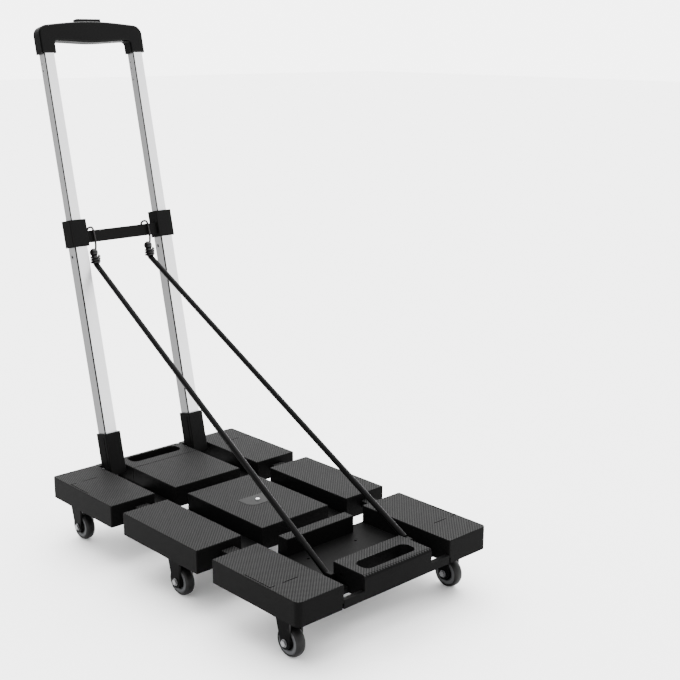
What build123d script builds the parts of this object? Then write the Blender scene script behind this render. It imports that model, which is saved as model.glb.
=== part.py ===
"""Folding luggage cart: three telescoping deck rows on six casters, with a two-stage
handle that leans back in use, folds forward over the deck, and two bungee cords.

Millimetres. +X right, +Y from the toe of the deck towards the handle, +Z up. The origin is
on the floor, midway along the cart. Distances along the deck are given from its front edge,
and heights on the deck from its top surface.
"""
import os
from math import cos, hypot, radians, sin, sqrt

from build123d import *

os.makedirs("parts", exist_ok=True)

# ---- Deck ----
deck_width = 300.0
deck_top = 83.5
front_edge = -305.52
body_height = 28.7
plate_height = 6.8
plate_skin = 2.8
wall = 2.4
skin = 2.6
pad_width = 65.85
centre_half = 53.3
row_ends = {"front": (0.0, 146.7), "middle": (175.9, 327.5), "rear": (354.5, 495.9)}
middle_cover_ends = (175.9, 326.7)
rear_cover_ends = (353.4, 450.9)
rear_bar_ends = (451.2, 495.9)
slot_width = 81.0
slot_corner = 9.0
front_slot_ends = (9.8, 32.8)
rear_slot_ends = (468.0, 490.5)

# ---- Front tray ----
carry_depth = 51.7
rail_depth = 6.0
rail_top = -18.4
window_end = 25.5
bar_ends = (130.4, 146.7)
tray_hole_at = (38.0, 110.5)
side_hole_at = (38.0, -11.6)

# ---- Tongues: beams under the pads that hold the rows together ----
tongue_height = 8.0
tongue_top = -10.2
tongue_gap = 0.5
tongue_sides = {-1: (-114.5, -95.5), 1: (111.0, 130.0)}
tongue_root = 30.0
tongue_reach = 48.0

# ---- Casters ----
wheel_radius = 18.5
wheel_width = 13.0
rim_radius = 14.8
axle_radius = 3.0
running_gap = 0.05
moving_gap = 0.4
caster_x = 126.5
caster_trail = 12.0
caster_pivots = {"front": 50.0, "middle": 250.5, "rear": 473.0}
fork_gap = 1.0
fork_wall = 2.6
fork_head_height = 4.6
fork_head_radius = 14.0
caster_plate_height = 3.0
kingpin_radius = 4.0

# ---- Handle, measured along its leaning axis from the deck's top ----
lean = 12.2
axis_back = 476.43
axis_drop = 2.0
tube_x = 68.6
tube_size = 19.0
tube_wall = 1.2
inner_size = 15.0
pivot_back = 6.1
pivot_below_top = 4.5
pin_radius = 2.5
socket_top = 48.3
socket_bottom = -9.0
collar_bottom = 301.5
collar_top = 337.7
collar_width = 24.7
collar_depth = 21.8
cup_depth = 10.0
lip = 2.5
crossbar_bottom = 305.6
crossbar_top = 321.5
crossbar_depth = 12.0
leg_bottom = 558.0
grip_top = 599.5
grip_half = 79.5
grip_depth = 19.4
leg_inner = 58.2
button_travel = 3.0
handle_travel = 229.9

# ---- Bungee cords ----
cord_radius = 3.7
wire_radius = 1.4
bend_height = 5.0
cord_ends = {
    # side: (bend, from the front edge), (upper end x, along the handle, behind its axis), tail end
    "left": {"bend": (-57.0, 91.5), "top": (-51.1, 276.0, -10.0), "tail": (-57.0, 59.4, -15.2)},
    "right": {"bend": (57.0, 60.75), "top": (35.6, 276.0, -10.0), "tail": (57.5, 49.8, -1.5)},
}
hook_x = {"left": -46.0, "right": 41.0}


def y_at(distance):
    """Row-frame y of a distance from the deck's front edge."""
    return front_edge + distance


def z_at(height):
    """Row-frame z of a height measured from the deck's top."""
    return deck_top + height


def handle_plane(along, behind=0.0, x=0.0):
    """A plane across the leaning handle: local X is the cart's X, local Y points behind it."""
    a = radians(lean)
    origin = (
        x,
        y_at(axis_back) + behind * cos(a) + along * sin(a),
        z_at(-axis_drop) - behind * sin(a) + along * cos(a),
    )
    return Plane(origin=origin, x_dir=(1, 0, 0), z_dir=(0, sin(a), cos(a)))


def handle_side_plane(x):
    """A plane facing +X whose local X points behind the handle and local Y along it."""
    base = handle_plane(0.0)
    return Plane(origin=(x, base.origin.Y, base.origin.Z), x_dir=base.y_dir, z_dir=(1, 0, 0))


def handle_front_plane(behind):
    """A plane facing the deck, with local X the cart's X and local Y along the handle."""
    base = handle_plane(0.0, behind)
    return Plane(origin=base.origin, x_dir=(1, 0, 0), z_dir=-base.y_dir)


def save(piece, name):
    piece.part.label = name
    export_step(piece.part, f"parts/{name}.step")
    made[name] = piece.part


made = {}

# The fold pivot, from where the leaning axis passes it.
a = radians(lean)
pivot_along = (axis_drop - pivot_below_top + pivot_back * sin(a)) / cos(a)
pivot_y = y_at(axis_back) + pivot_back * cos(a) + pivot_along * sin(a)
pivot_z = z_at(-pivot_below_top)
channel = (centre_half, deck_width / 2 - pad_width)


# ---- Deck pads ----
def make_pad(row, side):
    """One side pad: a shell open below, whose inner wall stands on the row's base plate."""
    start, end = row_ends[row]
    depth = end - start
    centre_x = side * (deck_width - pad_width) / 2
    middle_y = y_at((start + end) / 2)
    inner_x = centre_x - side * pad_width / 2
    with BuildPart() as pad:
        with BuildSketch(Plane.XY.offset(z_at(-body_height))):
            with Locations((centre_x, middle_y)):
                Rectangle(pad_width, depth)
        extrude(amount=body_height)
        outward = -1 if side > 0 else 0
        inward = 0 if side > 0 else -1
        fillet(pad.edges().filter_by(Axis.Z).group_by(Axis.X)[inward], pad_inner_corner)
        for place, radius in zip((0, -1), pad_corners[row]):
            outer_edges = pad.edges().filter_by(Axis.Z).group_by(Axis.X)[outward]
            fillet(outer_edges.sort_by(Axis.Y)[place], radius)
        fillet(pad.faces().sort_by(Axis.Z)[-1].edges(), top_round)
        with BuildSketch(Plane.XY.offset(z_at(-body_height))):
            with Locations((centre_x, middle_y)):
                RectangleRounded(pad_width - 2 * wall, depth - 2 * wall, pad_inner_corner)
            with Locations((inner_x + side * pad_width / 4, middle_y)):
                Rectangle(pad_width / 2 - 2 * wall, depth - 2 * wall)
        extrude(amount=body_height - skin, mode=Mode.SUBTRACT)
        with BuildSketch(Plane.XY.offset(z_at(-body_height))):
            with Locations((inner_x, middle_y)):
                Rectangle(2 * wall, depth)
        extrude(amount=plate_height, mode=Mode.SUBTRACT)
        # Fine parting lines in the top of the corner pads.
        for x_low, x_high, y_low, y_high in pad_lines.get(row, ()):
            with BuildSketch(Plane.XY.offset(z_at(0))):
                with Locations((side * (x_low + x_high) / 2, y_at((y_low + y_high) / 2))):
                    Rectangle(x_high - x_low, y_high - y_low)
            extrude(amount=-line_depth, mode=Mode.SUBTRACT)
        # A slot in the front wall for the tongue of the row in front.
        if row != "front":
            low, high = tongue_sides[side]
            tall = tongue_height + 2 * tongue_gap
            with BuildSketch(Plane.XY.offset(z_at(tongue_top + tongue_gap))):
                with Locations(((low + high) / 2, y_at(start))):
                    Rectangle(high - low + 2 * tongue_gap, 3 * wall)
            extrude(amount=-tall, mode=Mode.SUBTRACT)
        # The pads of the last row carry the outer ends of the handle's hinge pins.
        if row == "rear":
            with BuildSketch(Plane.YZ.offset(inner_x - side * wall)):
                with Locations((pivot_y, pivot_z)):
                    Circle(pin_radius + running_gap)
            extrude(amount=side * 3 * wall, mode=Mode.SUBTRACT)
        # The stem of the tongue's root rib, under the top skin.
        if row != "rear":
            low, high = tongue_sides[side]
            with BuildSketch(Plane.XY.offset(z_at(tongue_top))):
                with Locations(((low + high) / 2, y_at(end - tongue_root + wall))):
                    Rectangle(high - low, wall)
            extrude(amount=-tongue_top - skin)
            tall = tongue_height + 2 * tongue_gap
            with BuildSketch(Plane.XY.offset(z_at(tongue_top + tongue_gap))):
                with Locations(((low + high) / 2, y_at(end))):
                    Rectangle(high - low + 2 * tongue_gap, 3 * wall)
            extrude(amount=-tall, mode=Mode.SUBTRACT)
    save(pad, f"{row}_pad_{side_name[side]}")


# Radii of each pad's outer corners, at its front and at its back.
pad_corners = {"front": (7.0, 1.2), "middle": (1.2, 1.2), "rear": (1.2, 4.0)}
line_depth = 1.0
pad_lines = {
    "front": ((146.8, 148.1, 47.3, 91.0), (140.0, 146.8, 47.3, 48.6), (109.0, 130.0, 47.3, 48.6)),
    "rear": ((146.8, 148.1, 412.0, 453.9), (140.0, 146.8, 452.6, 453.9), (109.0, 130.0, 452.6, 453.9)),
}
pad_inner_corner = 1.6
top_round = 1.0
side_name = {-1: "left", 1: "right"}
for row_name in row_ends:
    for side in side_name:
        make_pad(row_name, side)


# ---- Tongues ----
def make_tongues(row):
    """The two hollow beams that run from under a row's pads into the next row's pads."""
    end = row_ends[row][1]
    start = end - tongue_root
    length = tongue_root + tongue_gaps[row] + tongue_reach
    with BuildPart() as tongues:
        for low, high in tongue_sides.values():
            with BuildSketch(Plane.XZ.offset(-y_at(start))):
                with Locations(((low + high) / 2, z_at(tongue_top - tongue_height / 2))):
                    RectangleRounded(high - low, tongue_height, 0.8)
                    Rectangle(high - low - 2 * wall, tongue_height - 2 * wall, mode=Mode.SUBTRACT)
            extrude(amount=-length)
    save(tongues, f"{row}_tongues")


tongue_gaps = {
    "front": row_ends["middle"][0] - row_ends["front"][1],
    "middle": row_ends["rear"][0] - row_ends["middle"][1],
}
for row_name in tongue_gaps:
    make_tongues(row_name)


# ---- Row base plates ----
def base_plate_outline(row, centre_start):
    """The plan of a row's base plate: the channels and centre, with a wing inside each pad."""
    start, end = row_ends[row]
    wing_half = deck_width / 2 - wall - 0.3
    with Locations((0, y_at((start + end) / 2))):
        RectangleRounded(2 * wing_half, end - start - 2 * (wall + 0.3), pad_inner_corner + 0.4)
    with Locations((0, y_at((centre_start + end) / 2))):
        Rectangle(2 * channel[1], end - centre_start)


def rib_pockets(row, centre_start):
    """Pockets sunk into the plate's underside, which leave its rim and ribs."""
    start, end = row_ends[row]
    rows = 3
    rib = 2.0
    depth = (end - start - 2 * (wall + 0.3) - rib) / rows
    columns = 8
    width = (deck_width - 2 * (wall + 0.3) - rib) / columns
    for i in range(columns):
        for j in range(rows):
            x = (i - (columns - 1) / 2) * width
            y = start + wall + 0.3 + rib / 2 + (j + 0.5) * depth
            away = hypot(abs(x) - caster_x, y - caster_pivots[row])
            if away > pocket_clear and y - depth / 2 > centre_start:
                yield x, y_at(y), width - rib, depth - rib


pocket_clear = 30.0


def cut_rib_pockets(row, centre_start):
    with BuildSketch(Plane.XY.offset(z_at(-body_height))) as pockets:
        for x, y, width, depth in rib_pockets(row, centre_start):
            with Locations((x, y)):
                Rectangle(width, depth)
    extrude(pockets.sketch, amount=plate_height - plate_skin, mode=Mode.SUBTRACT)


def cut_kingpin_holes(row):
    with BuildSketch(Plane.XY.offset(z_at(-body_height))) as holes:
        with Locations(*[(s * caster_x, y_at(caster_pivots[row])) for s in side_name]):
            Circle(kingpin_radius + running_gap)
    extrude(holes.sketch, amount=plate_height, mode=Mode.SUBTRACT)


with BuildPart() as middle_base:
    with BuildSketch(Plane.XY.offset(z_at(-body_height))):
        base_plate_outline("middle", row_ends["middle"][0])
    extrude(amount=plate_height)
    cut_rib_pockets("middle", 0.0)
    cut_kingpin_holes("middle")
save(middle_base, "middle_base")

rear_wall_start = 492.9
bridge_start = 488.0
bridge_height = 5.0
pocket_ends = (432.0, rear_wall_start)
pocket_half = 13.8
rear_low, rear_high = row_ends["rear"]
with BuildPart() as rear_base:
    with BuildSketch(Plane.XY.offset(z_at(-body_height))):
        base_plate_outline("rear", rear_low)
    extrude(amount=plate_height)
    cut_rib_pockets("rear", 0.0)
    cut_kingpin_holes("rear")
    # The carry slot and the two wells that the handle's sockets turn in.
    with BuildSketch(Plane.XY.offset(z_at(-body_height))):
        with Locations((0, y_at(sum(rear_slot_ends) / 2))):
            Rectangle(slot_width + 2 * wall + 0.4, rear_slot_ends[1] - rear_slot_ends[0] + 2 * wall + 0.4)
        with Locations(*[(s * tube_x, y_at(sum(pocket_ends) / 2)) for s in side_name]):
            Rectangle(2 * pocket_half, pocket_ends[1] - pocket_ends[0])
    extrude(amount=plate_height, mode=Mode.SUBTRACT)
    # Across each channel's end, a wall whose lip stops the handle at its leaning position.
    for s in side_name:
        with BuildSketch(Plane.YZ.offset(s * channel[0])):
            with BuildLine():
                Polyline(
                    (y_at(rear_wall_start), z_at(-body_height)),
                    (y_at(rear_high), z_at(-body_height)),
                    (y_at(rear_high), z_at(0)),
                    (y_at(bridge_start), z_at(0)),
                    (y_at(bridge_start), z_at(-bridge_height)),
                    (y_at(rear_wall_start), z_at(-bridge_height)),
                    close=True,
                )
            make_face()
        extrude(amount=s * (channel[1] - channel[0]))
save(rear_base, "rear_base")

# The front tray: low floor, front rail with a window each side, and the raised bar behind.
bar_depth = bar_ends[1] - bar_ends[0]
with BuildPart() as front_tray:
    with BuildSketch(Plane.XY.offset(z_at(-body_height))):
        base_plate_outline("front", carry_depth)
        for s in side_name:
            with Locations((s * sum(channel) / 2, y_at((wall + window_end) / 2))):
                Rectangle(channel[1] - channel[0], window_end - wall, mode=Mode.SUBTRACT)
    extrude(amount=plate_height)
    cut_rib_pockets("front", window_end)
    cut_kingpin_holes("front")
    with BuildSketch(Plane.XY.offset(z_at(-body_height))):
        for s in side_name:
            with Locations((s * sum(channel) / 2, y_at(rail_depth / 2))):
                Rectangle(channel[1] - channel[0], rail_depth)
    extrude(amount=body_height + rail_top)
    with BuildSketch(Plane.XY.offset(z_at(-body_height))):
        with Locations((0, y_at(sum(front_slot_ends) / 2))):
            Rectangle(slot_width + 2 * wall + 0.4, front_slot_ends[1] - front_slot_ends[0] + 2 * wall + 0.4)
        with Locations(*[(s * tray_hole_at[0], y_at(tray_hole_at[1])) for s in side_name]):
            Circle(1.8)
    extrude(amount=plate_height, mode=Mode.SUBTRACT)
    with BuildSketch(Plane.XY.offset(z_at(-body_height))):
        with Locations((0, y_at(sum(bar_ends) / 2))):
            Rectangle(2 * centre_half, bar_depth)
    extrude(amount=body_height)
    bar_top = front_tray.faces().sort_by(Axis.Z)[-1]
    fillet(bar_top.edges(), top_round)
    with BuildSketch(Plane.XY.offset(z_at(-body_height))):
        with Locations((0, y_at(sum(bar_ends) / 2))):
            Rectangle(2 * (centre_half - wall), bar_depth - 2 * wall)
    extrude(amount=body_height - skin, mode=Mode.SUBTRACT)
save(front_tray, "front_tray")


# ---- Centre covers ----
def centre_shell(ends, corner, slot_ends=None, to_floor=False):
    """A centre cover: a shell open below, standing on the base plate, with a carry slot or not."""
    start, end = ends
    middle_y = y_at((start + end) / 2)
    depth = end - start
    height = body_height - plate_height
    with BuildPart() as cover:
        with BuildSketch(Plane.XY.offset(z_at(-height))):
            with Locations((0, middle_y)):
                Rectangle(2 * centre_half, depth)
        extrude(amount=height)
        fillet(cover.edges().filter_by(Axis.Z).group_by(Axis.Y)[-1], corner)
        fillet(cover.faces().sort_by(Axis.Z)[-1].edges(), top_round)
        with BuildSketch(Plane.XY.offset(z_at(-height))):
            with Locations((0, middle_y)):
                Rectangle(2 * (centre_half - wall), depth - 2 * wall)
        extrude(amount=height - skin, mode=Mode.SUBTRACT)
        if slot_ends:
            slot_y = y_at(sum(slot_ends) / 2)
            slot_depth = slot_ends[1] - slot_ends[0]
            with BuildSketch(Plane.XY.offset(z_at(-body_height))):
                with Locations((0, slot_y)):
                    RectangleRounded(slot_width + 2 * wall, slot_depth + 2 * wall, slot_corner + wall)
            extrude(amount=body_height - skin / 2)
            with BuildSketch(Plane.XY.offset(z_at(-body_height))):
                with Locations((0, slot_y)):
                    RectangleRounded(slot_width, slot_depth, slot_corner)
            extrude(amount=body_height, mode=Mode.SUBTRACT)
    return cover


# ---- Middle cover, with the plain plate and screw at its centre ----
plate_size = (42.0, 27.0)
plate_corners = {"front": 12.0, "back": 1.0}
plate_at = 250.0
plate_thick = 1.6
screw_radius = 2.6


def plate_outline(height, grow=0.0):
    """The plate's outline, rounded at its two front corners, at a height over the deck's top."""
    with BuildSketch(Plane.XY.offset(z_at(height))) as outline:
        with Locations((0, y_at(plate_at))):
            Rectangle(plate_size[0] + grow, plate_size[1] + grow)
        fillet(outline.vertices().group_by(Axis.Y)[0], plate_corners["front"])
        fillet(outline.vertices().group_by(Axis.Y)[-1], plate_corners["back"])
    return outline.sketch


cover_piece = centre_shell(middle_cover_ends, 1.6)
with BuildPart() as middle_cover:
    add(cover_piece.part)
    extrude(plate_outline(0.0, 0.2), amount=-plate_thick, mode=Mode.SUBTRACT)
    with BuildSketch(Plane.XY.offset(z_at(0))):
        with Locations((0, y_at(plate_at))):
            Circle(1.6)
    extrude(amount=-2 * skin, mode=Mode.SUBTRACT)
save(middle_cover, "middle_cover")

with BuildPart() as centre_plate:
    extrude(plate_outline(-plate_thick), amount=plate_thick + 0.3)
    with BuildSketch(Plane.XY.offset(z_at(-plate_thick))):
        with Locations((0, y_at(plate_at))):
            Circle(1.6)
    extrude(amount=plate_thick + 0.3, mode=Mode.SUBTRACT)
save(centre_plate, "centre_plate")

with BuildPart() as centre_screw:
    with BuildSketch(Plane.XY.offset(z_at(0.3))):
        with Locations((0, y_at(plate_at))):
            Circle(screw_radius)
    extrude(amount=1.2)
    fillet(centre_screw.faces().sort_by(Axis.Z)[-1].edges(), 0.7)
    with BuildSketch(Plane.XY.offset(z_at(0.3))):
        with Locations((0, y_at(plate_at))):
            Circle(1.5)
    extrude(amount=-8.0)
    with BuildSketch(Plane.XY.offset(z_at(1.5))):
        with Locations((0, y_at(plate_at))):
            Rectangle(2.6, 0.6)
            Rectangle(0.6, 2.6)
    extrude(amount=-0.7, mode=Mode.SUBTRACT)
save(centre_screw, "centre_screw")

save(centre_shell(rear_cover_ends, 0.6), "rear_cover")

# ---- Rear carry bar, which also holds the inner ends of the hinge pins ----
cover_piece = centre_shell(rear_bar_ends, 7.0, rear_slot_ends)
with BuildPart() as rear_carry_bar:
    add(cover_piece.part)
    for s in side_name:
        with BuildSketch(Plane.YZ.offset(s * (centre_half - wall - 0.2))):
            with Locations((pivot_y, pivot_z)):
                Circle(pin_radius + running_gap)
        extrude(amount=s * 2 * wall, mode=Mode.SUBTRACT)
save(rear_carry_bar, "rear_carry_bar")

# ---- Front carry handle: the block at the toe ----
nose_round = 5.0
nose_mid = (y_at(nose_round * (1 - sqrt(0.5))), z_at(-nose_round * (1 - sqrt(0.5))))
cover_piece = centre_shell((0.0, carry_depth), 1.6, front_slot_ends)
with BuildPart() as carry_handle:
    add(cover_piece.part)
    with BuildSketch(Plane.XY.offset(z_at(-body_height))):
        with Locations((0, y_at(wall / 2))):
            Rectangle(2 * centre_half, wall)
    extrude(amount=plate_height)
    with BuildSketch(Plane.YZ.offset(-centre_half)):
        with BuildLine():
            Line((y_at(0), z_at(0)), (y_at(nose_round), z_at(0)))
            ThreePointArc((y_at(nose_round), z_at(0)), nose_mid, (y_at(0), z_at(-nose_round)))
            Line((y_at(0), z_at(-nose_round)), (y_at(0), z_at(0)))
        make_face()
    extrude(amount=2 * centre_half, mode=Mode.SUBTRACT)
    # A small screw hole through each side face.
    with BuildSketch(Plane.YZ.offset(-centre_half)):
        with Locations((y_at(side_hole_at[0]), z_at(side_hole_at[1]))):
            Circle(1.5)
    extrude(amount=2 * centre_half, mode=Mode.SUBTRACT)
save(carry_handle, "carry_handle")


# ---- Casters ----
def make_caster_plates(row):
    """The two top plates of a row with the kingpins that the forks turn on."""
    with BuildPart() as plates:
        for s in side_name:
            x = s * caster_x
            y = y_at(caster_pivots[row])
            with BuildSketch(Plane.XY.offset(z_at(-body_height))):
                with Locations((x, y)):
                    Circle(fork_head_radius + 1.5)
            extrude(amount=-caster_plate_height)
            with BuildSketch(Plane.XY.offset(kingpin_top)):
                with Locations((x, y)):
                    Circle(kingpin_radius)
            extrude(amount=kingpin_bottom - kingpin_top)
            with BuildSketch(Plane.XY.offset(kingpin_top)):
                with Locations((x, y)):
                    Circle(kingpin_radius + rivet_overhang)
            extrude(amount=rivet_head)
            with BuildSketch(Plane.XY.offset(kingpin_bottom)):
                with Locations((x, y)):
                    Circle(kingpin_radius + rivet_overhang)
            extrude(amount=rivet_head)
    save(plates, f"{row}_caster_plates")


fork_head_top = z_at(-body_height - caster_plate_height) - moving_gap
fork_head_bottom = fork_head_top - fork_head_height
rivet_head = 1.3
rivet_overhang = 2.0
kingpin_top = z_at(plate_height - body_height)
kingpin_bottom = fork_head_bottom - moving_gap - rivet_head
fork_inner = wheel_width / 2 + fork_gap
lobe_radius = 7.6
cheek_front = 8.0
cheek_back = 14.0


def make_fork(name, x, pivot, axle_y):
    """A moulded yoke: a round head over two cheeks that reach forward to the axle."""
    with BuildPart() as fork:
        with BuildSketch(Plane.XY.offset(fork_head_top)):
            with Locations((x, pivot)):
                Circle(fork_head_radius)
            with Locations((x, (pivot + axle_y - cheek_front) / 2)):
                Rectangle(2 * (fork_inner + fork_wall), pivot - axle_y + cheek_front)
        extrude(amount=-fork_head_height)
        fillet(fork.faces().sort_by(Axis.Z)[-1].edges(), 1.0)
        for s in side_name:
            with BuildSketch(Plane.YZ.offset(x + s * fork_inner)):
                with BuildLine():
                    Polyline(
                        (axle_y - lobe_radius, wheel_radius),
                        (axle_y - cheek_front, fork_head_bottom),
                        (axle_y - cheek_front, fork_head_top - 1.2),
                        (axle_y + cheek_back, fork_head_top - 1.2),
                        (axle_y + cheek_back, fork_head_bottom - 4.0),
                        (axle_y + 0.72 * lobe_radius, wheel_radius - 0.69 * lobe_radius),
                        close=True,
                    )
                make_face()
                with Locations((axle_y, wheel_radius)):
                    Circle(lobe_radius)
            extrude(amount=s * fork_wall)
        with BuildSketch(Plane.YZ.offset(x - fork_inner - 2 * fork_wall)):
            with Locations((axle_y, wheel_radius)):
                Circle(axle_radius + running_gap)
        extrude(amount=2 * fork_inner + 4 * fork_wall, mode=Mode.SUBTRACT)
        with BuildSketch(Plane.XY.offset(fork_head_top)):
            with Locations((x, pivot)):
                Circle(kingpin_radius + running_gap)
        extrude(amount=-2 * fork_head_height, mode=Mode.SUBTRACT)
    save(fork, f"{name}_fork")


def make_axle(name, x, axle_y):
    """The axle bolt: a shank with a domed hexagon head at one end and a nut at the other."""
    face = fork_inner + fork_wall
    with BuildPart() as axle:
        with BuildSketch(Plane.YZ.offset(x - face)):
            with Locations((axle_y, wheel_radius)):
                Circle(axle_radius)
        extrude(amount=2 * face)
        for s in side_name:
            with BuildSketch(Plane.YZ.offset(x + s * face)):
                with Locations((axle_y, wheel_radius)):
                    Circle(4.4)
            extrude(amount=s * 0.7)
            with BuildSketch(Plane.YZ.offset(x + s * (face + 0.7))):
                with Locations((axle_y, wheel_radius)):
                    RegularPolygon(3.7, 6)
            extrude(amount=s * 1.9)
    save(axle, f"{name}_axle")


def make_hub(name, x, axle_y):
    """The wheel's plastic centre: a dished disc with a raised ring, bored for the axle."""
    half = wheel_width / 2
    with BuildPart() as hub:
        with BuildSketch(Plane.XZ.offset(-axle_y)):
            with BuildLine():
                Polyline(
                    (x - half, wheel_radius + axle_radius + running_gap),
                    (x + half, wheel_radius + axle_radius + running_gap),
                    (x + half, wheel_radius + 5.5),
                    (x + half - 2.6, wheel_radius + 6.5),
                    (x + half - 2.6, wheel_radius + 8.6),
                    (x + half - 0.9, wheel_radius + 9.4),
                    (x + half - 0.5, wheel_radius + rim_radius - 0.6),
                    (x + half - 1.3, wheel_radius + rim_radius),
                    (x - half + 1.3, wheel_radius + rim_radius),
                    (x - half + 0.5, wheel_radius + rim_radius - 0.6),
                    (x - half + 0.9, wheel_radius + 9.4),
                    (x - half + 2.6, wheel_radius + 8.6),
                    (x - half + 2.6, wheel_radius + 6.5),
                    (x - half, wheel_radius + 5.5),
                    close=True,
                )
            make_face()
        revolve(axis=Axis((x, axle_y, wheel_radius), (1, 0, 0)))
    save(hub, f"{name}_hub")


def make_tyre(name, x, axle_y):
    """The rubber tread, with a crowned running surface."""
    half = wheel_width / 2
    shoulder = 15.6
    with BuildPart() as tyre:
        with BuildSketch(Plane.XZ.offset(-axle_y)):
            with BuildLine():
                Line((x - half + 1.3, wheel_radius + rim_radius), (x + half - 1.3, wheel_radius + rim_radius))
                Line((x + half - 1.3, wheel_radius + rim_radius), (x + half, wheel_radius + shoulder))
                Spline(
                    (x + half, wheel_radius + shoulder),
                    (x + 3.6, 2 * wheel_radius - 0.4),
                    (x, 2 * wheel_radius),
                    (x - 3.6, 2 * wheel_radius - 0.4),
                    (x - half, wheel_radius + shoulder),
                )
                Line((x - half, wheel_radius + shoulder), (x - half + 1.3, wheel_radius + rim_radius))
            make_face()
        revolve(axis=Axis((x, axle_y, wheel_radius), (1, 0, 0)))
    save(tyre, f"{name}_tyre")


for row_name, pivot_at in caster_pivots.items():
    make_caster_plates(row_name)
    for side, word in side_name.items():
        caster = f"{row_name}_{word}"
        swivel_y = y_at(pivot_at)
        wheel_y = swivel_y - caster_trail
        make_fork(caster, side * caster_x, swivel_y, wheel_y)
        make_axle(caster, side * caster_x, wheel_y)
        make_hub(caster, side * caster_x, wheel_y)
        make_tyre(caster, side * caster_x, wheel_y)

# ---- Handle: hinge pins and sockets ----
socket_front = -(tube_size / 2 + 3.8)
socket_back = 10.5
socket_half = 11.75
knuckle = 4.3
with BuildPart() as hinge_pins:
    for s in side_name:
        with BuildSketch(Plane.YZ.offset(s * (centre_half - wall))):
            with Locations((pivot_y, pivot_z)):
                Circle(pin_radius)
        extrude(amount=s * (channel[1] - channel[0] + 2 * wall))
save(hinge_pins, "hinge_pins")

with BuildPart() as handle_sockets:
    for s in side_name:
        with BuildSketch(handle_side_plane(s * tube_x - socket_half)):
            with BuildLine():
                Polyline(
                    (socket_front, socket_bottom),
                    (0, socket_bottom),
                    (pivot_back, pivot_along - knuckle),
                    (socket_back, pivot_along),
                    (socket_back, socket_top),
                    (socket_front, socket_top),
                    close=True,
                )
            make_face()
            with Locations((pivot_back, pivot_along)):
                Circle(knuckle)
        extrude(amount=2 * socket_half)
    upright = handle_sockets.edges().filter_by(Axis((0, 0, 0), handle_plane(0).z_dir))
    fillet(upright, 1.0)
    # The square socket for the tube, the pin's bore, and a groove down each outer side.
    with BuildSketch(handle_plane(3.0)):
        with Locations(*[(s * tube_x, 0) for s in side_name]):
            RectangleRounded(tube_size + 0.1, tube_size + 0.1, 1.5)
    extrude(amount=socket_top, mode=Mode.SUBTRACT)
    with BuildSketch(handle_side_plane(-deck_width / 2)):
        with Locations((pivot_back, pivot_along)):
            Circle(pin_radius + running_gap)
    extrude(amount=deck_width, mode=Mode.SUBTRACT)
    with BuildSketch(handle_plane(3.0)):
        for s in side_name:
            for edge in (-1, 1):
                with Locations((s * tube_x + edge * socket_half, socket_front + 6.0)):
                    Rectangle(1.6, 1.6)
    extrude(amount=socket_top - 8.0, mode=Mode.SUBTRACT)
save(handle_sockets, "handle_sockets")

# ---- Handle: tubes ----
outer_bottom = 3.0
outer_top = collar_top - cup_depth - lip
with BuildPart() as outer_tubes:
    with BuildSketch(handle_plane(outer_bottom)):
        with Locations(*[(s * tube_x, 0) for s in side_name]):
            RectangleRounded(tube_size, tube_size, 1.5)
            RectangleRounded(tube_size - 2 * tube_wall, tube_size - 2 * tube_wall, 0.8, mode=Mode.SUBTRACT)
    extrude(amount=outer_top - outer_bottom)
    # A lock dimple through the left wall of each tube, just under the collar.
    for s in side_name:
        with BuildSketch(handle_side_plane(s * tube_x - tube_size / 2 - 0.1)):
            with Locations((2.0, 289.0)):
                Circle(2.4)
        extrude(amount=tube_wall + 0.2, mode=Mode.SUBTRACT)
save(outer_tubes, "outer_tubes")

inner_bottom = 262.0
inner_top = leg_bottom + 16.0
inner_wall = 1.1
inner_bore = inner_size - 2 * inner_wall
small_holes = {-1: (545.6, 536.3), 1: (546.6, 537.6, 522.7)}
with BuildPart() as inner_tubes:
    with BuildSketch(handle_plane(inner_bottom)):
        with Locations(*[(s * tube_x, 0) for s in side_name]):
            RectangleRounded(inner_size, inner_size, 1.2)
            RectangleRounded(inner_bore, inner_bore, 0.6, mode=Mode.SUBTRACT)
    extrude(amount=inner_top - inner_bottom)
    for s, heights in small_holes.items():
        with BuildSketch(handle_side_plane(s * tube_x - inner_size / 2 - 0.1)):
            with Locations(*[(2.6, height) for height in heights]):
                SlotOverall(3.2, 1.8, rotation=90)
        extrude(amount=inner_wall + 0.2, mode=Mode.SUBTRACT)
save(inner_tubes, "inner_tubes")

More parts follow.
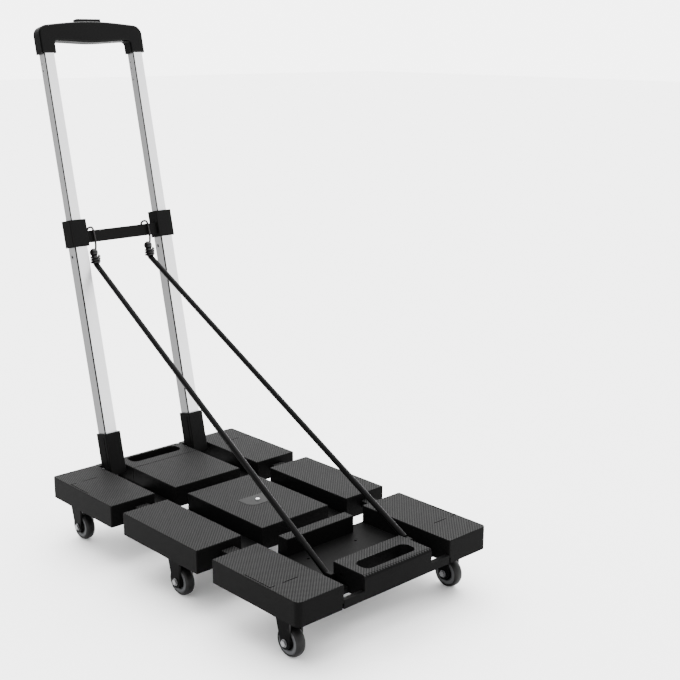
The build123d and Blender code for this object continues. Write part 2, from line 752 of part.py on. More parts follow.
# ---- Handle: bracket of two collars and a crossbar ----
with BuildPart() as tube_bracket:
    with BuildSketch(handle_plane(collar_bottom)):
        with Locations(*[(s * tube_x, 0) for s in side_name]):
            RectangleRounded(collar_width, collar_depth, 1.0)
    extrude(amount=collar_top - collar_bottom)
    with BuildSketch(handle_plane(crossbar_bottom)):
        Rectangle(2 * (tube_x - collar_width / 2) + 1.0, crossbar_depth)
    extrude(amount=crossbar_top - crossbar_bottom)
    with BuildSketch(handle_plane(collar_bottom)):
        with Locations(*[(s * tube_x, 0) for s in side_name]):
            RectangleRounded(tube_size + 0.1, tube_size + 0.1, 1.5)
    extrude(amount=outer_top - collar_bottom, mode=Mode.SUBTRACT)
    with BuildSketch(handle_plane(outer_top - 1.0)):
        with Locations(*[(s * tube_x, 0) for s in side_name]):
            RectangleRounded(inner_size + 0.9, inner_size + 0.9, 1.4)
    extrude(amount=collar_top, mode=Mode.SUBTRACT)
    with BuildSketch(handle_plane(collar_top - cup_depth)):
        with Locations(*[(s * tube_x, 0) for s in side_name]):
            Rectangle(2 * (grip_half - tube_x) + 1.8, grip_depth + 0.8)
    extrude(amount=collar_top, mode=Mode.SUBTRACT)
    # Grooves down the back of the collars, and the indicator slot in the bar's back.
    with BuildSketch(handle_plane(collar_bottom)):
        for s in side_name:
            for shift in (-5.4, -1.8, 1.8, 5.4):
                with Locations((s * tube_x + shift, collar_depth / 2)):
                    Rectangle(1.4, 0.8)
    extrude(amount=collar_top - collar_bottom, mode=Mode.SUBTRACT)
    with BuildSketch(handle_front_plane(crossbar_depth / 2)):
        with Locations((0, (crossbar_bottom + crossbar_top) / 2)):
            RectangleRounded(44.0, 7.0, 1.5)
    extrude(amount=2.0, mode=Mode.SUBTRACT)
save(tube_bracket, "tube_bracket")

# ---- Handle: the grip in two shells, split along its middle ----
grip_inner_wall = 2.0
bar_underside = 574.0
belly = 571.6
corner_top = 593.0
corner_foot = corner_top - 11.0
shoulder = grip_half - 12.0
shoulder_top = corner_top + 1.9
crotch = 5.0


def grip_outline():
    """The arched grip seen from the front, in the cart's X and along the handle."""
    with BuildLine() as outline:
        Line((-grip_half, leg_bottom), (-grip_half, corner_foot))
        TangentArc((-grip_half, corner_foot), (-shoulder, shoulder_top), tangent=(0, 1))
        Spline(
            (-shoulder, shoulder_top),
            (-40.0, grip_top - 1.9),
            (0, grip_top),
            (40.0, grip_top - 1.9),
            (shoulder, shoulder_top),
        )
        TangentArc((grip_half, corner_foot), (shoulder, shoulder_top), tangent=(0, 1))
        Line((grip_half, corner_foot), (grip_half, leg_bottom))
        Line((grip_half, leg_bottom), (leg_inner, leg_bottom))
        Line((leg_inner, leg_bottom), (leg_inner, bar_underside - crotch))
        ThreePointArc(
            (leg_inner, bar_underside - crotch),
            (leg_inner - crotch * (1 - sqrt(0.5)), bar_underside - crotch * (1 - sqrt(0.5))),
            (leg_inner - crotch, bar_underside),
        )
        Spline(
            (leg_inner - crotch, bar_underside),
            (24.0, belly + 0.9),
            (0, belly),
            (-24.0, belly + 0.9),
            (-leg_inner + crotch, bar_underside),
        )
        ThreePointArc(
            (-leg_inner + crotch, bar_underside),
            (-leg_inner + crotch * (1 - sqrt(0.5)), bar_underside - crotch * (1 - sqrt(0.5))),
            (-leg_inner, bar_underside - crotch),
        )
        Line((-leg_inner, bar_underside - crotch), (-leg_inner, leg_bottom))
        Line((-leg_inner, leg_bottom), (-grip_half, leg_bottom))
    make_face(outline.edges())


button_half = 18.5
button_depth = 9.0
button_proud = 4.0
rod_radius = 2.0
bar_mid = (bar_underside + grip_top) / 2


def make_grip(name, facing):
    """One grip shell. facing is -1 for the shell towards the deck and 1 for the one behind."""
    with BuildPart() as shell:
        with BuildSketch(handle_front_plane(0)):
            grip_outline()
        extrude(amount=-facing * grip_depth / 2)
        cheek = shell.faces().sort_by(handle_axis)[0 if facing < 0 else -1]
        fillet(cheek.outer_wire().edges(), 2.6)
        # Hollow for the tubes, the latch bar and the button.
        with BuildSketch(handle_front_plane(0)):
            with Locations(*[(s * tube_x, (leg_bottom + inner_top) / 2) for s in side_name]):
                Rectangle(inner_size + 0.1, inner_top - leg_bottom + 0.4)
        extrude(amount=-facing * (inner_size / 2 + 0.05), mode=Mode.SUBTRACT)
        with BuildSketch(handle_front_plane(0)):
            with Locations((0, bar_mid - 1.0)):
                Rectangle(2 * tube_x + 9.0, 11.0)
            with Locations((0, grip_top - 4.0)):
                Rectangle(2 * button_half + 0.8, 16.0)
            with Locations(*[(s * tube_x, inner_top + 3.0) for s in side_name]):
                Rectangle(9.0, 10.0)
        extrude(amount=-facing * (button_depth / 2 + 0.4), mode=Mode.SUBTRACT)
        if facing > 0:
            with BuildSketch(handle_front_plane(grip_depth / 2)):
                with Locations(*[(s * tube_x, leg_bottom + 9.0) for s in side_name]):
                    Circle(2.4)
            extrude(amount=1.15, mode=Mode.SUBTRACT)
    save(shell, name)


handle_axis = Axis((0, 0, 0), handle_plane(0).y_dir)
make_grip("grip_front", -1)
make_grip("grip_back", 1)

with BuildPart() as grip_screws:
    with BuildSketch(handle_front_plane(grip_depth / 2 - 0.3)):
        with Locations(*[(s * tube_x, leg_bottom + 9.0) for s in side_name]):
            Circle(2.3)
            Rectangle(2.2, 0.5, mode=Mode.SUBTRACT)
    extrude(amount=0.8)
save(grip_screws, "grip_screws")

# ---- Handle: release button with the bar and rods that it pushes ----
button_bottom = grip_top - 9.0
button_top = grip_top + button_proud
latch_bar_ends = (583.6, 587.6)
rod_bottom = 290.0
plug_size = 11.6
plug_height = 16.0
with BuildPart() as release_button:
    with BuildSketch(handle_front_plane(-button_depth / 2)):
        with Locations((0, (button_bottom + button_top) / 2)):
            Rectangle(2 * button_half, button_top - button_bottom)
    extrude(amount=-button_depth)
save(release_button, "release_button")

with BuildPart() as latch_rods:
    with BuildSketch(handle_plane(latch_bar_ends[0])):
        Rectangle(2 * tube_x + 2 * rod_radius, 2 * rod_radius)
    extrude(amount=latch_bar_ends[1] - latch_bar_ends[0])
    with BuildSketch(handle_plane(latch_bar_ends[1])):
        Rectangle(12.0, 2 * rod_radius)
    extrude(amount=button_bottom - latch_bar_ends[1])
    with BuildSketch(handle_plane(rod_bottom)):
        with Locations(*[(s * tube_x, 0) for s in side_name]):
            Circle(rod_radius)
    extrude(amount=latch_bar_ends[0] - rod_bottom)
    with BuildSketch(handle_plane(rod_bottom - plug_height)):
        with Locations(*[(s * tube_x, 0) for s in side_name]):
            RectangleRounded(plug_size, plug_size, 1.5)
    extrude(amount=plug_height)
save(latch_rods, "latch_rods")


# ---- Bungee cords, hooked over the crossbar and tied at the toe ----
def handle_point(x, along, behind):
    """A point given across the handle, along its axis and behind it."""
    return handle_plane(along, behind, x).origin


def deck_point(x, distance, height):
    return Vector(x, y_at(distance), z_at(height))


def rod_between(start, end, radius):
    """Adds a round rod between two points to the part being built."""
    with BuildSketch(Plane(origin=start, z_dir=end - start)) as disc:
        Circle(radius)
    extrude(disc.sketch, amount=(end - start).length)


def shortened(start, end, gap):
    """The end of a run that stops short of its end by the gap."""
    return end - (end - start).normalized() * gap


bend_gap = 0.2
ferrule_gap = 3.4
post_size = (7.0, 10.0, 8.9)
boss_size = (7.2, 12.0, 14.5)
with BuildPart() as cord_anchors:
    with BuildSketch(Plane.XY.offset(z_at(plate_height - body_height))):
        with Locations((-57.0, y_at(52.0))):
            RectangleRounded(post_size[0], post_size[1], 1.5)
    extrude(amount=post_size[2])
    fillet(cord_anchors.faces().sort_by(Axis.Z)[-1].edges(), 1.2)
    with BuildSketch(Plane.YZ.offset(centre_half)):
        with Locations((y_at(42.0), z_at(-8.75))):
            RectangleRounded(boss_size[1], boss_size[2], 2.0)
    extrude(amount=boss_size[0])
    fillet(cord_anchors.faces().sort_by(Axis.X)[-1].edges(), 1.2)
save(cord_anchors, "cord_anchors")

with BuildPart() as cord_tails:
    for cord in cord_ends.values():
        x, distance = cord["bend"]
        tail = deck_point(*cord["tail"])
        bend = deck_point(x, distance, bend_height)
        rod_between(tail, shortened(tail, bend, bend_gap), cord_radius)
save(cord_tails, "cord_tails")

hook_bottom = 277.0
core_top = 289.0
bulb_at = 291.5
bulb_radius = 5.6
coil_radius = 5.5
coil_pitch = 3.3
coil_height = 10.0


def make_cord(name, bend, top):
    """The straight upper run of a cord, from its bend at the deck to the hook's ferrule."""
    with BuildPart() as cord:
        low = deck_point(bend[0], bend[1], bend_height)
        high = handle_point(*top)
        rod_between(shortened(high, low, bend_gap), shortened(low, high, ferrule_gap), cord_radius)
    save(cord, f"cord_{name}")


def make_hook(name, x, top):
    """A wire hook over the crossbar, with a bead and a coil clamped on the cord's end."""
    bead_x = top[0]
    lean_in = (x - bead_x) * 0.4
    behind = top[2] + 1.0
    over = crossbar_top + wire_radius + 3.0
    front_face = -crossbar_depth / 2 - wire_radius - 0.9
    back_face = crossbar_depth / 2 + wire_radius + 0.9
    points = [
        handle_point(bead_x + lean_in, bulb_at, behind),
        handle_point(x, bulb_at + 9.0, front_face),
        handle_point(x, crossbar_top - 4.0, front_face),
        handle_point(x, over - 1.6, front_face + 1.9),
        handle_point(x, over, 0.0),
        handle_point(x, over - 1.6, back_face - 1.9),
        handle_point(x, crossbar_top - 4.0, back_face),
    ]
    with BuildPart() as hook:
        with BuildLine() as path:
            Spline(*points)
        with BuildSketch(Plane(origin=path.line @ 0, z_dir=path.line % 0)):
            Circle(wire_radius)
        sweep(path=path.line)
        with Locations(handle_point(bead_x, bulb_at, top[2] + 1.0)):
            Sphere(bulb_radius)
        rod_between(handle_point(*top), handle_point(bead_x, core_top, top[2] + 1.0), cord_radius + 0.2)
        coil_plane = handle_plane(hook_bottom, top[2] + 0.4, bead_x)
        with BuildLine(coil_plane) as coil:
            Helix(pitch=coil_pitch, height=coil_height, radius=coil_radius)
        with BuildSketch(Plane(origin=coil.line @ 0, z_dir=coil.line % 0)):
            Circle(wire_radius)
        sweep(path=coil.line, is_frenet=True)
    save(hook, f"hook_{name}")


for name, cord in cord_ends.items():
    make_cord(name, cord["bend"], cord["top"])
    make_hook(name, hook_x[name], cord["top"])
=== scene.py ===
"""Folding luggage cart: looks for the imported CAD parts. Metres, row frame: +X right, +Y towards
the handle, +Z up, origin on the floor under the middle of the cart."""
import math

import bmesh
import bpy
from mathutils import Matrix, Vector


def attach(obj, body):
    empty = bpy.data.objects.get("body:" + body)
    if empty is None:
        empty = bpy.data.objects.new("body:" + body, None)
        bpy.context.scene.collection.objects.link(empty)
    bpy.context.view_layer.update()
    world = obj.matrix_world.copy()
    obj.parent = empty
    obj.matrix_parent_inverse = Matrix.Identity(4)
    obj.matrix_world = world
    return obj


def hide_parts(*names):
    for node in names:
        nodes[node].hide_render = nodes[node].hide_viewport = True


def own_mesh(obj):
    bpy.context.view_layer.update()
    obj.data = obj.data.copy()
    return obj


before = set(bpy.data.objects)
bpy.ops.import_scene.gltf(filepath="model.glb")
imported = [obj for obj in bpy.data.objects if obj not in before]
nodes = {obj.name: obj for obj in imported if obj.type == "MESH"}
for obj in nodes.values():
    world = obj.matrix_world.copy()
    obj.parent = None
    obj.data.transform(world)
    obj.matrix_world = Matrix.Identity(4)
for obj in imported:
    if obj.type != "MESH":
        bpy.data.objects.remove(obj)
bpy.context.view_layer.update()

# ---- Shared dimensions, in metres ----
FRONT_EDGE = -0.30552
DECK_TOP = 0.0835
LEAN = math.radians(12.2)
AXIS_BACK = 0.47643
AXIS_DROP = 0.002
CORD_RADIUS = 0.0037
WHEEL_RADIUS = 0.0185
CASTER_X = 0.1265
AXLES = {"front": 0.038, "middle": 0.2385, "rear": 0.461}
TUBE_X = 0.0686
HUB_DARK_RADIUS = 0.0102


def deck_point(x, distance, height):
    """A point from its distance behind the deck's front edge and its height over the deck's top."""
    return Vector((x, FRONT_EDGE + distance, DECK_TOP + height))


def handle_point(x, along, behind):
    """A point from its place along the leaning handle and its distance behind the handle's axis."""
    back = AXIS_BACK + behind * math.cos(LEAN) + along * math.sin(LEAN)
    up = -AXIS_DROP - behind * math.sin(LEAN) + along * math.cos(LEAN)
    return deck_point(x, back, up)


# ---- Camera ----
def add_camera():
    data = bpy.data.cameras.new("camera")
    data.sensor_width = 36.0
    data.lens = 63.02
    data.clip_end = 50.0
    camera = bpy.data.objects.new("camera", data)
    bpy.context.scene.collection.objects.link(camera)
    right = Vector((0.73187, -0.68143, 0.00429))
    forward = Vector((0.66082, 0.70817, -0.24861)).normalized()
    right = (right - right.dot(forward) * forward).normalized()
    up = right.cross(forward)
    turn = Matrix((right, up, -forward)).transposed().to_4x4()
    camera.matrix_world = Matrix.Translation((-0.88527, -1.15561, 0.65347)) @ turn
    bpy.context.scene.camera = camera


add_camera()


# ---- Cords ----
def link(obj):
    bpy.context.scene.collection.objects.link(obj)
    return obj


def route_points(name, points):
    """Points along the smooth curve that has the given control points."""
    curve = bpy.data.curves.new(name + "_route", "CURVE")
    curve.dimensions = "3D"
    spline = curve.splines.new("NURBS")
    spline.points.add(len(points) - 1)
    for point, place in zip(spline.points, points):
        point.co = (*place, 1.0)
    spline.order_u = 3
    spline.use_endpoint_u = True
    spline.resolution_u = 64
    route = link(bpy.data.objects.new(name + "_route", curve))
    mesh = bpy.data.meshes.new_from_object(route)
    places = [v.co.copy() for v in mesh.vertices]
    bpy.data.objects.remove(route)
    bpy.data.meshes.remove(mesh)
    return places


BRAID_PITCH = 0.010
BRAID_STRANDS = 8
BRAID_SIDES = 32
BRAID_STEP = 0.00055
BRAID_RELIEF = 0.045


def braided_tube(name, points):
    """A cord's mesh tube with the diamond relief of a braided sheath, and the path that it follows."""
    places = route_points(name, points)
    total = sum((b - a).length for a, b in zip(places, places[1:]))
    count = int(total / BRAID_STEP)
    rings = []
    step = total / count
    walked = 0.0
    at = 0
    for k in range(count + 1):
        goal = min(k * step, total - 1e-9)
        while at < len(places) - 2 and walked + (places[at + 1] - places[at]).length < goal:
            walked += (places[at + 1] - places[at]).length
            at += 1
        span = places[at + 1] - places[at]
        rings.append((places[at] + span.normalized() * (goal - walked), span.normalized(), goal))
    mesh = bmesh.new()
    previous = []
    side_hint = Vector((1.0, 0.0, 0.0))
    for centre, along, distance in rings:
        across = (side_hint - side_hint.dot(along) * along).normalized()
        other = along.cross(across)
        ring = []
        for j in range(BRAID_SIDES):
            angle = 2 * math.pi * j / BRAID_SIDES
            turn = distance / BRAID_PITCH * math.pi
            one = math.sin(BRAID_STRANDS / 2 * angle + turn * 2)
            two = math.sin(BRAID_STRANDS / 2 * angle - turn * 2)
            radius = CORD_RADIUS * (1 - BRAID_RELIEF + BRAID_RELIEF * max(abs(one), abs(two)))
            outward = math.cos(angle) * across + math.sin(angle) * other
            ring.append(mesh.verts.new(centre + radius * outward))
        for j in range(BRAID_SIDES if previous else 0):
            after = (j + 1) % BRAID_SIDES
            mesh.faces.new((previous[j], previous[after], ring[after], ring[j]))
        if not previous:
            mesh.faces.new(list(reversed(ring)))
        previous = ring
    mesh.faces.new(previous)
    data = bpy.data.meshes.new(name)
    mesh.to_mesh(data)
    mesh.free()
    data.shade_smooth()
    return link(bpy.data.objects.new(name, data)), places


# Each cord's low end and its bend at the deck's level are deck points, its upper end a handle point.
cords = {
    "left": {
        "tail": (-0.057, 0.0594, -0.0152),
        "bend": (-0.057, 0.0915, 0.005),
        "top": (-0.0511, 0.276, -0.010),
    },
    "right": {
        "tail": (0.0575, 0.0498, -0.0015),
        "bend": (0.057, 0.06075, 0.005),
        "top": (0.0356, 0.276, -0.010),
    },
}
HOOK_RUN = 0.036
cord_pieces = []
tail_pieces = []
for side, ends in cords.items():
    bend = deck_point(*ends["bend"])
    top = handle_point(*ends["top"])
    tail = deck_point(*ends["tail"])
    run = (top - bend).normalized()
    near_hook = top - run * HOOK_RUN
    upper, path = braided_tube(f"cord_{side}_braided", [bend, near_hook, top])
    cord_pieces.append(upper)
    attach(upper, f"bungee_{side}")
    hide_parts(f"cord_{side}")
    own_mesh(upper)
    low_run = [tail - run * 0.003, bend - run * 0.006, bend + run * 0.0005]
    lower, _ = braided_tube(f"cord_{side}_tail", low_run)
    tail_pieces.append(lower)
    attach(lower, "front")
    # The slack low run lies down on the tray's floor, out of the folding grip's way.
    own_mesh(lower)
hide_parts("cord_tails")


# ---- Materials ----
def new_material(name):
    material = bpy.data.materials.new(name)
    material.use_nodes = True
    tree = material.node_tree
    shader = tree.nodes["Principled BSDF"]
    return material, tree, shader


def node(tree, kind, **values):
    made = tree.nodes.new(kind)
    for key, value in values.items():
        setattr(made, key, value)
    return made


def math_node(tree, operation, first, second=None):
    made = node(tree, "ShaderNodeMath", operation=operation)
    for socket, value in zip(made.inputs, (first, second)):
        if isinstance(value, (int, float)):
            socket.default_value = value
        elif value is not None:
            tree.links.new(value, socket)
    return made.outputs[0]


def ramp_between(tree, value, low, high):
    """0 below low, 1 above high, smooth between."""
    made = node(tree, "ShaderNodeMapRange", interpolation_type="SMOOTHSTEP")
    tree.links.new(value, made.inputs["Value"])
    made.inputs["From Min"].default_value = low
    made.inputs["From Max"].default_value = high
    return made.outputs["Result"]


def mix_value(tree, factor, low, high):
    made = node(tree, "ShaderNodeMapRange")
    tree.links.new(factor, made.inputs["Value"])
    made.inputs["To Min"].default_value = low
    made.inputs["To Max"].default_value = high
    return made.outputs["Result"]


def mix_colour(tree, factor, low, high):
    made = node(tree, "ShaderNodeMix", data_type="RGBA")
    tree.links.new(factor, made.inputs["Factor"])
    for socket, value in ((made.inputs["A"], low), (made.inputs["B"], high)):
        if isinstance(value, tuple):
            socket.default_value = (*value, 1.0)
        else:
            tree.links.new(value, socket)
    return made.outputs["Result"]


def noise(tree, coordinates, scale, detail=3.0, stretch=(1.0, 1.0, 1.0), turn=0.0):
    mapping = node(tree, "ShaderNodeMapping")
    mapping.inputs["Scale"].default_value = stretch
    mapping.inputs["Rotation"].default_value = (turn, 0.0, 0.0)
    tree.links.new(coordinates, mapping.inputs["Vector"])
    made = node(tree, "ShaderNodeTexNoise")
    made.inputs["Scale"].default_value = scale
    made.inputs["Detail"].default_value = detail
    tree.links.new(mapping.outputs[0], made.inputs["Vector"])
    return made.outputs["Fac"]


def bump(tree, shader, height, distance, strength=1.0):
    made = node(tree, "ShaderNodeBump")
    made.inputs["Strength"].default_value = strength
    made.inputs["Distance"].default_value = distance
    tree.links.new(height, made.inputs["Height"])
    tree.links.new(made.outputs[0], shader.inputs["Normal"])


def grained_plastic(name, colour, roughness, grain=0.00004, spread=0.2, scale=900.0, shine=0.2):
    """Moulded plastic with a fine spark-eroded grain, faint wear in its gloss, and painted shade: less
    shine on its left faces and undersides."""
    material, tree, shader = new_material(name)
    place = node(tree, "ShaderNodeTexCoord").outputs["Object"]
    fine = noise(tree, place, scale, 2.0)
    broad = noise(tree, place, 22.0, 4.0)
    dim = tuple(c * (1 - spread) for c in colour)
    lit = tuple(c * (1 + spread) for c in colour)
    tree.links.new(mix_colour(tree, broad, dim, lit), shader.inputs["Base Color"])
    tree.links.new(mix_value(tree, broad, roughness - 0.05, roughness + 0.06), shader.inputs["Roughness"])
    # Painted shade: the reflection is turned down on left faces and undersides, by face direction.
    facing = node(tree, "ShaderNodeSeparateXYZ")
    tree.links.new(node(tree, "ShaderNodeTexCoord").outputs["Normal"], facing.inputs[0])
    away = math_node(tree, "MINIMUM", facing.outputs["X"], facing.outputs["Z"])
    shaded = ramp_between(tree, math_node(tree, "MULTIPLY", away, -1.0), 0.3, 0.8)
    tree.links.new(mix_value(tree, shaded, shine, 0.1 * shine), shader.inputs["Specular IOR Level"])
    bump(tree, shader, fine, grain)
    return material


CHECK_CELL = 0.0021


def checked_plastic(name, lowest, sharp=0.55, groove=0.0):
    """Deck plastic: smooth on its sides, with a raised check on top faces above a height. Top faces
    above that height and below groove are the floors of the parting lines, painted near-black as painted
    shade."""
    material, tree, shader = new_material(name)
    coordinates = node(tree, "ShaderNodeTexCoord")
    place = coordinates.outputs["Object"]
    split = node(tree, "ShaderNodeSeparateXYZ")
    tree.links.new(place, split.inputs[0])
    facing = node(tree, "ShaderNodeSeparateXYZ")
    tree.links.new(coordinates.outputs["Normal"], facing.inputs[0])
    top = ramp_between(tree, facing.outputs["Z"], sharp, sharp + 0.25)
    above = math_node(tree, "GREATER_THAN", split.outputs["Z"], lowest)
    mask = math_node(tree, "MULTIPLY", top, above)
    # Painted shade: the floors of the parting-line grooves are painted near-black.
    sunk = math_node(tree, "MULTIPLY", math_node(tree, "LESS_THAN", split.outputs["Z"], groove), mask)
    scale = math.pi / CHECK_CELL
    first = math_node(tree, "SINE", math_node(tree, "MULTIPLY", split.outputs["X"], scale))
    second = math_node(tree, "SINE", math_node(tree, "MULTIPLY", split.outputs["Y"], scale))
    product = math_node(tree, "MULTIPLY", first, second)
    check = ramp_between(tree, product, -0.25, 0.35)
    checked = math_node(tree, "MULTIPLY", check, mask)
    fine = noise(tree, place, 900.0, 2.0)
    broad = noise(tree, place, 18.0, 4.0)
    smooth = mix_colour(tree, broad, (0.0014, 0.0014, 0.0014), (0.0024, 0.0024, 0.0024))
    valley = mix_colour(tree, mask, smooth, (0.0022, 0.0022, 0.0022))
    raised = mix_colour(tree, broad, (0.0175, 0.0175, 0.0176), (0.022, 0.022, 0.0221))
    shader.inputs["Specular IOR Level"].default_value = 0.02
    skin = mix_colour(tree, checked, valley, raised)
    tree.links.new(mix_colour(tree, sunk, skin, (0.0003, 0.0003, 0.0003)), shader.inputs["Base Color"])
    tree.links.new(mix_value(tree, mask, 0.52, 0.62), shader.inputs["Roughness"])
    height = math_node(tree, "ADD", checked, math_node(tree, "MULTIPLY", fine, 0.2))
    bump(tree, shader, height, 0.00022)
    return material


def brushed_metal(name, colour, roughness, turn, streak=0.06):
    """Aluminium brushed along the tube, with streaks in its gloss, and painted shade: darker left faces
    and a dark line down the rounded edge between its left and front faces."""
    material, tree, shader = new_material(name)
    place = node(tree, "ShaderNodeTexCoord").outputs["Object"]
    streaks = noise(tree, place, 900.0, 4.0, stretch=(1.0, 1.0, 0.012), turn=turn)
    broad = noise(tree, place, 30.0, 3.0, stretch=(1.0, 1.0, 0.25), turn=turn)
    shader.inputs["Metallic"].default_value = 1.0
    dim = tuple(c * 0.93 for c in colour)
    lit = tuple(min(1.0, c * 1.05) for c in colour)
    facing = node(tree, "ShaderNodeSeparateXYZ")
    tree.links.new(node(tree, "ShaderNodeTexCoord").outputs["Normal"], facing.inputs[0])
    left = math_node(tree, "MULTIPLY", facing.outputs["X"], -1.0)
    front = math_node(tree, "MULTIPLY", facing.outputs["Y"], -1.0)
    # Painted shade: left faces are darkened, and a dark line is painted down the rounded left-front edge.
    turned_left = ramp_between(tree, left, 0.02, 0.1)
    edge = math_node(tree, "MULTIPLY", turned_left, ramp_between(tree, front, 0.02, 0.1))
    side = ramp_between(tree, left, 0.6, 0.95)
    body = mix_colour(tree, streaks, dim, lit)
    shaded = mix_colour(tree, side, body, tuple(c * 0.13 for c in colour))
    tree.links.new(mix_colour(tree, edge, shaded, (0.008, 0.008, 0.008)), shader.inputs["Base Color"])
    gloss = math_node(tree, "ADD", mix_value(tree, streaks, roughness - streak, roughness + streak),
                      mix_value(tree, broad, -0.03, 0.03))
    tree.links.new(gloss, shader.inputs["Roughness"])
    bump(tree, shader, streaks, 0.00002)
    return material


def bright_steel(name, colour=(0.62, 0.62, 0.63), roughness=0.22):
    material, tree, shader = new_material(name)
    place = node(tree, "ShaderNodeTexCoord").outputs["Object"]
    marks = noise(tree, place, 400.0, 4.0)
    shader.inputs["Metallic"].default_value = 1.0
    dim = tuple(c * 0.85 for c in colour)
    tree.links.new(mix_colour(tree, marks, dim, colour), shader.inputs["Base Color"])
    tree.links.new(mix_value(tree, marks, roughness, roughness + 0.18), shader.inputs["Roughness"])
    bump(tree, shader, marks, 0.00001)
    return material


def rubber(name):
    material, tree, shader = new_material(name)
    place = node(tree, "ShaderNodeTexCoord").outputs["Object"]
    fine = noise(tree, place, 1500.0, 2.0)
    dust = noise(tree, place, 120.0, 4.0)
    black = mix_colour(tree, dust, (0.0018, 0.0018, 0.0018), (0.0036, 0.0036, 0.0036))
    tree.links.new(black, shader.inputs["Base Color"])
    shader.inputs["Specular IOR Level"].default_value = 0.15
    tree.links.new(mix_value(tree, dust, 0.38, 0.52), shader.inputs["Roughness"])
    bump(tree, shader, fine, 0.00003)
    return material


def braid_material(name):
    """Black polyester sheath: fine yarn lines over the braid's modelled relief."""
    material, tree, shader = new_material(name)
    place = node(tree, "ShaderNodeTexCoord").outputs["Object"]
    yarn = noise(tree, place, 2600.0, 3.0)
    black = mix_colour(tree, yarn, (0.0004, 0.0004, 0.0004), (0.0018, 0.0018, 0.0018))
    tree.links.new(black, shader.inputs["Base Color"])
    shader.inputs["Specular IOR Level"].default_value = 0.03
    shader.inputs["Roughness"].default_value = 0.33
    bump(tree, shader, yarn, 0.00008)
    return material


deck_check = checked_plastic("deck_check", 0.077)
pad_check = checked_plastic("pad_check", 0.077, groove=0.0828)
tongue_check = checked_plastic("tongue_check", 0.070)
deck_smooth = grained_plastic("deck_smooth", (0.0020, 0.0020, 0.0020), 0.5, shine=0.02)
bracket_plastic = grained_plastic(
    "bracket_plastic", (0.0028, 0.0028, 0.0028), 0.42, grain=0.00007, shine=0.04
)
grip_plastic = grained_plastic("grip_plastic", (0.0013, 0.0013, 0.0013), 0.34, shine=0.07)
fork_plastic = grained_plastic("fork_plastic", (0.0014, 0.0014, 0.0014), 0.32, shine=0.12)
tube_inside = grained_plastic("tube_inside", (0.004, 0.004, 0.004), 0.6, shine=0.05)
hub_grey = grained_plastic("hub_grey", (0.06, 0.061, 0.063), 0.4, shine=0.1)
hub_dark = grained_plastic("hub_dark", (0.0015, 0.0015, 0.0015), 0.42, shine=0.06)
plate_plastic = grained_plastic("plate_plastic", (0.009, 0.009, 0.009), 0.45, shine=0.03)
tube_metal = brushed_metal("tube_metal", (0.72, 0.72, 0.73), 0.34, -LEAN)
steel = bright_steel("bright_plated_steel")
axle_steel = bright_steel("axle_steel", (0.22, 0.22, 0.225), 0.3)
wire_black = grained_plastic("wire_black", (0.0015, 0.0015, 0.0015), 0.25, grain=0.00001, shine=0.25)
tyre_rubber = rubber("tyre_rubber")
cord_braid = braid_material("cord_braid")

node_materials = [
    (pad_check, ("front_pad", "middle_pad", "rear_pad")),
    (deck_check, ("middle_cover", "rear_cover", "rear_carry_bar",
                  "carry_handle", "front_tray")),
    (deck_smooth, ("middle_base", "rear_base", "cord_anchors")),
    (tongue_check, ("front_tongues", "middle_tongues")),
    (bracket_plastic, ("tube_bracket", "handle_sockets")),
    (grip_plastic, ("grip_front", "grip_back", "release_button")),
    (plate_plastic, ("centre_plate",)),
    (tube_metal, ("outer_tubes", "inner_tubes")),
    (wire_black, ("hook_",)),
    (steel, ("hinge_pins", "centre_screw", "grip_screws", "latch_rods", "front_caster", "middle_caster",
             "rear_caster")),
]


def paint(obj, *materials):
    obj.data.materials.clear()
    for material in materials:
        obj.data.materials.append(material)


for name, obj in nodes.items():
    for material, starts in node_materials:
        if name.startswith(starts):
            paint(obj, material)
    if name.endswith("_fork"):
        paint(obj, fork_plastic)
    elif name.endswith("_axle"):
        paint(obj, axle_steel)
    elif name.endswith("_tyre"):
        paint(obj, tyre_rubber)
for piece in cord_pieces + tail_pieces:
    paint(piece, cord_braid)


def paint_hubs():
    """Grey rim ring on each hub, black inside it."""
    for row, distance in AXLES.items():
        for side, sign in (("left", -1), ("right", 1)):
            hub = nodes[f"{row}_{side}_hub"]
            paint(hub, hub_grey, hub_dark)
            centre = Vector((sign * CASTER_X, FRONT_EDGE + distance, WHEEL_RADIUS))
            for face in hub.data.polygons:
                offset = face.center - centre
                radius = math.hypot(offset.y, offset.z)
                face.material_index = 1 if radius < HUB_DARK_RADIUS else 0


paint_hubs()


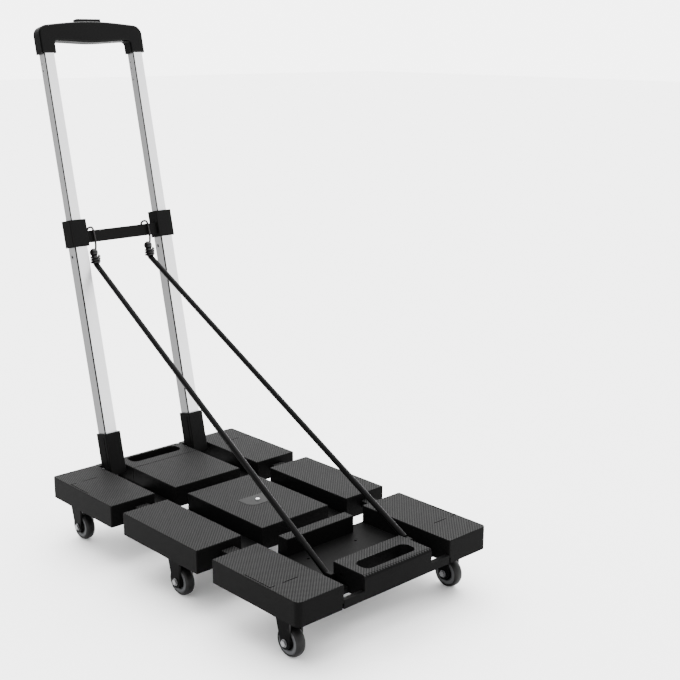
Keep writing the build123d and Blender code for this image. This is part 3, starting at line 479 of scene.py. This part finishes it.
def paint_tube_insides():
    """Dull grey inside the tubes, where little light reaches."""
    for name, reach in (("outer_tubes", 0.0085), ("inner_tubes", 0.0066)):
        tubes = nodes[name]
        paint(tubes, tube_metal, tube_inside)
        for face in tubes.data.polygons:
            place = face.center - handle_point(0.0, 0.0, 0.0)
            behind = place.y * math.cos(LEAN) - place.z * math.sin(LEAN)
            across = abs(abs(place.x) - TUBE_X)
            face.material_index = 1 if max(across, abs(behind)) < reach else 0


paint_tube_insides()


# ---- Studio ----
def add_floor():
    material, tree, shader = new_material("floor_white")
    place = node(tree, "ShaderNodeTexCoord").outputs["Object"]
    soft = noise(tree, place, 3.0)
    white = mix_colour(tree, soft, (0.86, 0.86, 0.86), (0.88, 0.88, 0.88))
    tree.links.new(white, shader.inputs["Base Color"])
    shader.inputs["Roughness"].default_value = 0.7
    bpy.ops.mesh.primitive_plane_add(size=30.0, location=(0, 0, 0))
    floor = bpy.context.object
    floor.name = "studio_floor"
    floor.data.materials.append(material)


def add_world():
    """Pale studio air, brighter on the side of the backdrop than on the viewer's side."""
    world = bpy.data.worlds.new("studio")
    world.use_nodes = True
    tree = world.node_tree
    background = tree.nodes["Background"]
    direction = node(tree, "ShaderNodeTexCoord").outputs["Generated"]
    towards = node(tree, "ShaderNodeVectorMath", operation="DOT_PRODUCT")
    towards.inputs[1].default_value = (0.66, 0.75, 0.0)
    tree.links.new(direction, towards.inputs[0])
    side = ramp_between(tree, towards.outputs["Value"], -0.1, 0.7)
    tree.links.new(mix_value(tree, side, 2.5, 5.6), background.inputs["Strength"])
    background.inputs["Color"].default_value = (1.0, 1.0, 1.0, 1.0)
    bpy.context.scene.world = world


def add_overhead():
    """A wide soft light from straight above, as a large softbox gives."""
    data = bpy.data.lights.new("overhead", "SUN")
    data.energy = 6.5
    data.angle = math.radians(70.0)
    lamp = link(bpy.data.objects.new("overhead", data))
    lamp.rotation_euler = (math.radians(-14.0), math.radians(10.0), 0.0)


add_floor()
add_world()
add_overhead()
